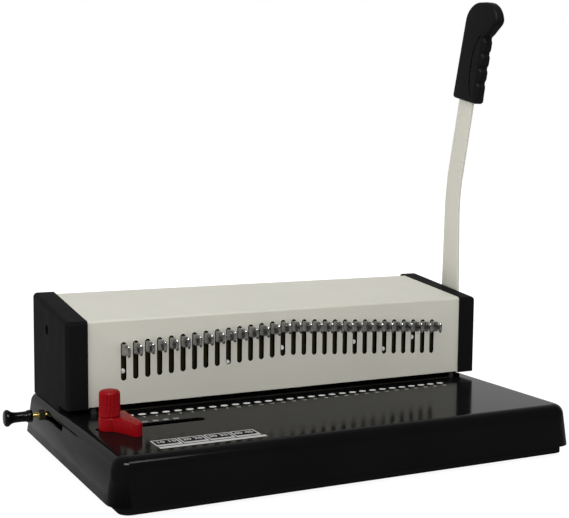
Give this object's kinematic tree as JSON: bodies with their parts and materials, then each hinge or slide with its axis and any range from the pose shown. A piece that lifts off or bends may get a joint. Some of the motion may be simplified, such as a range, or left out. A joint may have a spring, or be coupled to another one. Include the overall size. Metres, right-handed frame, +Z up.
{
  "type": "binding machine",
  "caption": "Desk punching and binding machine with a long side lever, a row of pull-out pin selectors, an edge guide, a margin lever and a chip tray.",
  "frame": {"origin": "middle of the whole outline on the table, under the feet", "axes": "+X to the machine's right, the lever's side; +Y to the back; +Z up"},
  "size_m": [0.4096, 0.232, 0.3614],
  "materials": {
    "gloss_black": "glossy moulded black",
    "satin_black": "satin moulded black",
    "grip_black": "black grip plastic",
    "rubber": "soft black rubber",
    "ivory_paint": "warm light grey powder coat",
    "dark_steel": "blackened steel",
    "steel": "machined steel",
    "bright_steel": "bright nickelled steel",
    "brass": "plain brass",
    "red_plastic": "clear bright red plastic"
  },
  "bodies": {
    "machine": {"base_shell": "gloss_black", "bottom_plate": "satin_black", "rubber_feet": "rubber", "base_screws": "steel", "left_end_cap": "satin_black", "right_end_cap": "satin_black", "cap_screws": "dark_steel", "punch_cover": "ivory_paint", "left_side_frame": "dark_steel", "right_side_frame": "dark_steel", "frame_screws": "steel", "tie_rod": "steel", "left_shaft_bush": "brass", "right_shaft_bush": "brass", "die_plate": "dark_steel", "pin_guide": "dark_steel", "guide_rods": "steel", "return_spring": "steel"},
    "lever": {"drive_shaft": "steel", "drive_pinions": "steel", "shaft_collar": "steel", "lever_bar": "ivory_paint", "lever_washer": "steel", "lever_bolt": "steel", "lever_grip": "grip_black"},
    "punch": {"pressure_bar": "dark_steel", "bar_screws": "bright_steel", "drive_racks": "steel", "punch_pins": "dark_steel"},
    "outer_selectors": {"outer_selectors": "bright_steel"},
    "inner_selectors": {"inner_selectors": "bright_steel"},
    "centre_selectors": {"centre_selectors": "bright_steel"},
    "edge_guide": {"edge_guide": "red_plastic", "guide_stud": "steel"},
    "guide_knob": {"guide_knob": "red_plastic"},
    "margin_stop": {"depth_stop": "steel", "margin_stud": "brass", "margin_nut": "brass"},
    "margin_grip": {"margin_grip": "grip_black"},
    "chip_tray": {"chip_tray": "satin_black"}
  },
  "joints": [
    {"name": "lever_pull", "type": "hinge", "parent": "machine", "child": "lever", "pos_m": [0.01184, 0.0515, 0.077], "axis": [1, 0, 0], "range_deg": [0, 77], "stiffness_Nm_per_rad": 0.8, "springref_deg": -45.84},
    {"name": "punch_stroke", "type": "slide", "parent": "machine", "child": "punch", "axis": [0, 0, -1], "range_m": [0, 0.0175]},
    {"name": "outer_selector_pull", "type": "slide", "parent": "punch", "child": "outer_selectors", "axis": [0, -1, 0], "range_m": [0, 0.0075]},
    {"name": "inner_selector_pull", "type": "slide", "parent": "punch", "child": "inner_selectors", "axis": [0, -1, 0], "range_m": [0, 0.0075]},
    {"name": "centre_selector_pull", "type": "slide", "parent": "punch", "child": "centre_selectors", "axis": [0, -1, 0], "range_m": [0, 0.0075]},
    {"name": "edge_guide_slide", "type": "slide", "parent": "machine", "child": "edge_guide", "axis": [1, 0, 0], "range_m": [-0.005, 0.068]},
    {"name": "guide_knob_turn", "type": "hinge", "parent": "edge_guide", "child": "guide_knob", "pos_m": [-0.15186, -0.036, 0.06], "axis": [0, 0, 1], "range_deg": [0, 270]},
    {"name": "margin_slide", "type": "slide", "parent": "machine", "child": "margin_stop", "axis": [0, -1, 0], "range_m": [-0.004, 0.046]},
    {"name": "margin_grip_turn", "type": "hinge", "parent": "margin_stop", "child": "margin_grip", "pos_m": [-0.18816, 0.0587, 0.0312], "axis": [-1, 0, 0], "range_deg": [0, 180]},
    {"name": "tray_pull", "type": "slide", "parent": "machine", "child": "chip_tray", "axis": [1, 0, 0], "range_m": [0, 0.2]}
  ],
  "couplings": [
    {"joint": "punch_stroke", "follows": "lever_pull", "m_per_rad": 0.013}
  ]
}
